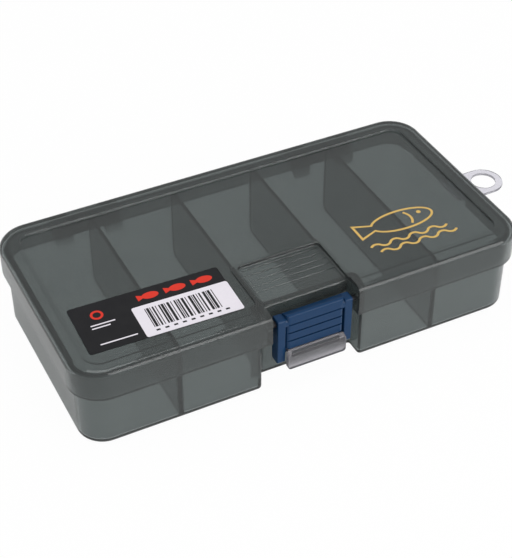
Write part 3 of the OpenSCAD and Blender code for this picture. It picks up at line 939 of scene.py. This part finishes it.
# %% Gold fish
def arc_band(name, x, y, radius, width, start, sweep, low, high, steps):
    """A flat band along an arc: a small upright plane spun round the arc's centre."""
    deselect()
    middle = Vector((x + radius * math.cos(start), y + radius * math.sin(start), (low + high) / 2))
    bpy.ops.mesh.primitive_plane_add(size=MM, location=middle * MM, rotation=(math.pi / 2, 0, start))
    bpy.context.object.scale = (width, high - low, 1)
    piece = settle(name)
    bpy.ops.object.mode_set(mode="EDIT")
    bpy.ops.mesh.select_all(action="SELECT")
    bpy.ops.mesh.spin(steps=steps, angle=-sweep, center=Vector((x, y, 0)) * MM, axis=(0, 0, 1))
    bpy.ops.mesh.select_all(action="SELECT")
    bpy.ops.mesh.normals_make_consistent(inside=False)
    bpy.ops.object.mode_set(mode="OBJECT")
    return piece


GOLD_LOW, GOLD_TOP = PANEL_Z + 0.01, PANEL_Z + 0.05
GOLD_X, GOLD_Y, GOLD_LENGTH, GOLD_HEIGHT, GOLD_TAIL, GOLD_LINE = 46.5, -14.6, 24, 10.4, 5.6, 0.85
EYE_X, EYE_Y, EYE_R = 53.8, -13.4, 0.8
GILL_X, GILL_R, GILL_SWEEP = 45.4, 4.6, 1.5

gold_fish = fish("gold_fish", GOLD_X, GOLD_Y, GOLD_LOW, GOLD_TOP, length=GOLD_LENGTH, height=GOLD_HEIGHT,
                 tail=GOLD_TAIL, spread=4.2, waist=1.5)
cut(gold_fish, fish("inner", GOLD_X, GOLD_Y, GOLD_LOW - OVER, GOLD_TOP + OVER,
                    length=GOLD_LENGTH - 2 * GOLD_LINE, height=GOLD_HEIGHT - 2 * GOLD_LINE,
                    tail=GOLD_TAIL, spread=3.0, waist=0.6))
eye = disc("eye", EYE_X, EYE_Y, GOLD_LOW, GOLD_TOP, EYE_R, 24)
gill = arc_band("gill", GILL_X, GOLD_Y, GILL_R, GOLD_LINE, -GILL_SWEEP / 2, GILL_SWEEP,
                GOLD_LOW, GOLD_TOP, 12)
golds = [gold_fish, eye, gill]
print("the gold fish is", GOLD_LENGTH + GOLD_TAIL, "mm long with its tail")

# %% Gold waves
HALF_ARC, WAVE_R = math.radians(52), 2.3
WAVE_ROWS, ROW_PITCH, WAVE_X, WAVE_Y = 2, 3.4, 31.5, -23.3
WAVE_STEPS, ARCS_IN_ROW = 10, 8

arc_pitch = 2 * WAVE_R * math.sin(HALF_ARC)
for row in range(WAVE_ROWS):
    for i in range(ARCS_IN_ROW):
        up = 1 if i % 2 == 0 else -1
        x = WAVE_X + (i + 0.5 * row) * arc_pitch
        y = WAVE_Y - ROW_PITCH * row - up * WAVE_R * math.cos(HALF_ARC)
        golds.append(arc_band("wave", x, y, WAVE_R, GOLD_LINE, up * math.pi / 2 - HALF_ARC, 2 * HALF_ARC,
                              GOLD_LOW, GOLD_TOP, WAVE_STEPS))
golds = join("lid_gold_print", golds)
finished(golds, gold_ink, "lid_body", "label_film")

# %% [markdown]
# ## Table and light
#
# The box lies on a plain pale table in soft light from all round, with one soft panel in front on the right
# and one above. A lamp's bright patch would show through the smoky plastic, so the panels are kept out of
# what is seen through it. The table could be lit until it turns white, but the box would be too bright
# then. It glows instead, and only for rays from the camera, through plastic and, weakly, in reflections,
# so the box itself is lit at a plain level.

# %% Table's material
WHITE_FOR = (("Is Camera Ray", 0.97), ("Is Transmission Ray", 0.92), ("Is Glossy Ray", 0.2))


def pale_table():
    material, nodes, links, shader = new_material("pale_table")
    noise = object_noise(nodes, links, 8, 2)
    links.new(tint(nodes, links, noise, (0.93, 0.93, 0.93), (0.95, 0.95, 0.95)), shader.inputs["Base Color"])
    shader.inputs["Roughness"].default_value = 0.9
    path = nodes.new("ShaderNodeLightPath")
    share = None
    for ray, amount in WHITE_FOR:
        part = math_node(nodes, links, "MULTIPLY", path.outputs[ray], amount)
        share = math_node(nodes, links, "MAXIMUM", share, part) if share else part
    white = nodes.new("ShaderNodeEmission")
    white.inputs["Strength"].default_value = 1.0
    mix = nodes.new("ShaderNodeMixShader")
    links.new(share, mix.inputs["Fac"])
    links.new(shader.outputs["BSDF"], mix.inputs[1])
    links.new(white.outputs["Emission"], mix.inputs[2])
    links.new(mix.outputs["Shader"], nodes["Material Output"].inputs["Surface"])
    return material


# %% Table
TABLE_SIZE, TABLE_DROP = 6, 0.0002  # metres

deselect()
bpy.ops.mesh.primitive_plane_add(size=TABLE_SIZE, location=(0, 0, -TABLE_DROP))
table = bpy.context.object
table.name = "table"
dress(table, pale_table())
print("the table is", TABLE_SIZE, "m wide")


# %% Light
def soft_panel(name, location, size, power):
    """A rectangular lamp that looks at the box."""
    deselect()
    bpy.ops.object.light_add(type="AREA", location=location)
    lamp = bpy.context.object
    lamp.name = name
    lamp.data.shape = "RECTANGLE"
    lamp.data.size, lamp.data.size_y = size
    lamp.data.energy = power
    lamp.visible_transmission = False
    lamp.rotation_euler = (-lamp.location).to_track_quat("-Z", "Y").to_euler()
    print(name, "gives", power, "W from", tuple(round(c, 2) for c in location), "m")


soft_panel("panel_front", (0.48, -1.03, 0.44), (0.95, 0.76), 8)
soft_panel("panel_above", (-0.1, -0.1, 1.3), (0.9, 0.7), 5)

world = bpy.data.worlds.new("studio")
world.use_nodes = True
world.node_tree.nodes["Background"].inputs["Color"].default_value = (1, 1, 1, 1)
world.node_tree.nodes["Background"].inputs["Strength"].default_value = 0.5
bpy.context.scene.world = world
bpy.context.scene.view_settings.view_transform = "Standard"

# %% [markdown]
# ## Light through many walls
#
# A ray that crosses the box passes the lid, the dividers and the tray, and each wall has two faces, so far
# more bounces are allowed than usual, or the middle of the box would turn black. Bent light also leaves
# single bright sparks, and a limit on indirect light keeps them down.

# %% Bounces
cycles = bpy.context.scene.cycles
cycles.max_bounces = 32
cycles.transmission_bounces = 28
cycles.glossy_bounces = 8
cycles.transparent_max_bounces = 32
cycles.sample_clamp_indirect = 1.0
print("a ray may bend", cycles.transmission_bounces, "times")
